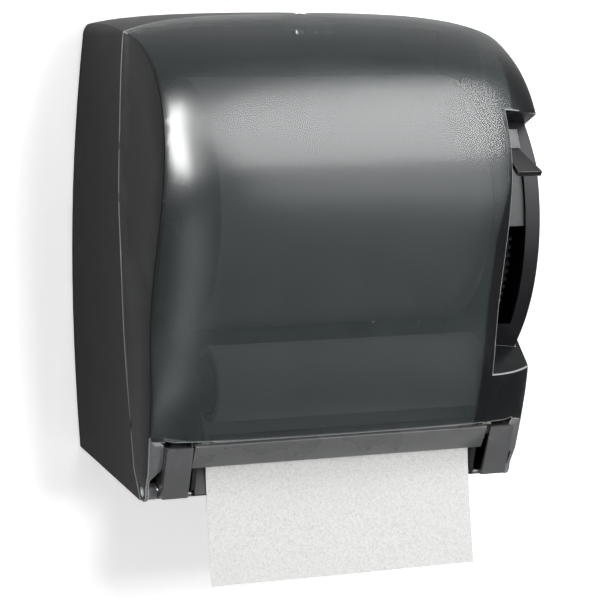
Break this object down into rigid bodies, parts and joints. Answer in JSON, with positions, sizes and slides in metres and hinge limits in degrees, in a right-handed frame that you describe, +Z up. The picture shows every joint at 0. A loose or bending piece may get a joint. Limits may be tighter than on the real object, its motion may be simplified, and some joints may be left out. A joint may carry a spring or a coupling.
{
  "type": "lever paper towel dispenser",
  "caption": "Wall-hung lever roll-towel dispenser: smoke-tinted hinged cover, charcoal back housing, side hand lever geared to a feed roller, tear bar and hanging towel",
  "frame": {"origin": "on the wall plane, at the centre of the four wall-fixing holes", "axes": "+Z up, +Y into the wall, the front faces -Y, +X to the right seen from the front"},
  "size_m": [0.3106, 0.2263, 0.4034],
  "materials": {
    "housing": "satin charcoal, fine mould texture",
    "smoke_cover": "smoke-tinted translucent, satin outside",
    "cap_grey": "satin",
    "bar_grey": "gloss",
    "tower": "satin",
    "black_plastic": "satin",
    "shutter_grey": "satin",
    "frame_plastic": "matte",
    "gear_white": "natural acetal",
    "gear_grey": "glass-filled nylon",
    "bush": "natural acetal",
    "arm_chrome": "polished",
    "steel": "ground",
    "spring_steel": "drawn",
    "blade_steel": "stamped",
    "lock_metal": "satin",
    "rubber": "matte",
    "drum_plastic": "matte",
    "towel_paper": "soft crepe",
    "core_board": "spiral wound",
    "screw_zinc": "zinc plated"
  },
  "bodies": {
    "case": {"back_housing": "housing", "hinge_pin_left": "steel", "hinge_pin_right": "steel", "side_frame_left": "frame_plastic", "side_frame_right": "frame_plastic", "end_cap_left": "cap_grey", "end_cap_right": "cap_grey", "front_bar": "bar_grey", "tear_blade": "blade_steel", "paper_chute": "frame_plastic", "lever_tower": "tower", "lever_bush_inner": "bush", "lever_bush_outer": "bush", "lever_return_spring": "spring_steel", "stop_bumper_upper": "rubber", "stop_bumper_lower": "rubber", "idler_axle": "steel", "drive_bush_left": "bush", "drive_bush_right": "bush", "pinch_block_left": "bush", "pinch_block_right": "bush", "roll_arm_right": "frame_plastic", "roll_arm_pin": "steel", "roll_plug_right": "black_plastic", "stub_plug_left": "black_plastic", "stub_plug_right": "black_plastic", "towel_web": "towel_paper", "frame_screws": "screw_zinc"},
    "cover": {"front_cover": "smoke_cover", "lock_keeper": "frame_plastic"},
    "lock": {"lock_barrel": "lock_metal", "lock_hook": "steel"},
    "lever": {"lever_shaft": "steel", "lever_arm": "arm_chrome", "lever_paddle": "black_plastic", "slot_shutter": "shutter_grey", "sector_gear": "gear_grey"},
    "idler": {"idler_gear": "gear_white"},
    "drive": {"drive_shaft": "steel", "drive_drum": "drum_plastic", "drive_sleeves": "rubber", "drive_pinion": "gear_white", "feed_knob": "black_plastic"},
    "pinch": {"pinch_shaft": "steel", "pinch_roller": "drum_plastic"},
    "stub": {"stub_roll": "towel_paper", "stub_roll_core": "core_board"},
    "main_roll": {"main_roll": "towel_paper", "main_roll_core": "core_board"},
    "roll_arm": {"roll_arm_left": "frame_plastic", "roll_plug_left": "black_plastic"}
  },
  "joints": [
    {"name": "cover_swing", "type": "hinge", "parent": "case", "child": "cover", "pos_m": [0, -0.1411, -0.1677], "axis": [1, 0, 0], "range_deg": [0, 85]},
    {"name": "lock_turn", "type": "hinge", "parent": "case", "child": "lock", "pos_m": [0, -0.076, 0.152], "axis": [0, 0, -1], "range_deg": [0, 45]},
    {"name": "lever_pull", "type": "hinge", "parent": "case", "child": "lever", "pos_m": [0, -0.065, 0.017], "axis": [1, 0, 0], "range_deg": [0, 48], "stiffness_Nm_per_rad": 1, "springref_deg": -34.38},
    {"name": "idler_spin", "type": "hinge", "parent": "case", "child": "idler", "pos_m": [0, -0.1195, -0.09882], "axis": [1, 0, 0], "range_deg": [-294, 0]},
    {"name": "drive_spin", "type": "hinge", "parent": "case", "child": "drive", "pos_m": [0, -0.13611, -0.13411], "axis": [1, 0, 0], "range_deg": [0, 470]},
    {"name": "pinch_spin", "type": "hinge", "parent": "case", "child": "pinch", "pos_m": [0, -0.1581, -0.13411], "axis": [1, 0, 0], "range_deg": [-940, 0]},
    {"name": "stub_spin", "type": "hinge", "parent": "case", "child": "stub", "pos_m": [0, -0.1565, -0.091], "axis": [1, 0, 0], "range_deg": [-245, 0]},
    {"name": "main_roll_spin", "type": "hinge", "parent": "case", "child": "main_roll", "pos_m": [0, -0.0985, 0.031], "axis": [1, 0, 0], "continuous": true},
    {"name": "roll_arm_flex", "type": "hinge", "parent": "case", "child": "roll_arm", "pos_m": [-0.10365, -0.01, 0.031], "axis": [0, 0, -1], "range_deg": [0, 6], "stiffness_Nm_per_rad": 3, "springref_deg": -2.86}
  ],
  "couplings": [
    {"joint": "idler_spin", "follows": "lever_pull", "ratio": -6.1111},
    {"joint": "drive_spin", "follows": "lever_pull", "ratio": 9.7778},
    {"joint": "pinch_spin", "follows": "lever_pull", "ratio": -19.556},
    {"joint": "stub_spin", "follows": "lever_pull", "ratio": -5.07}
  ]
}
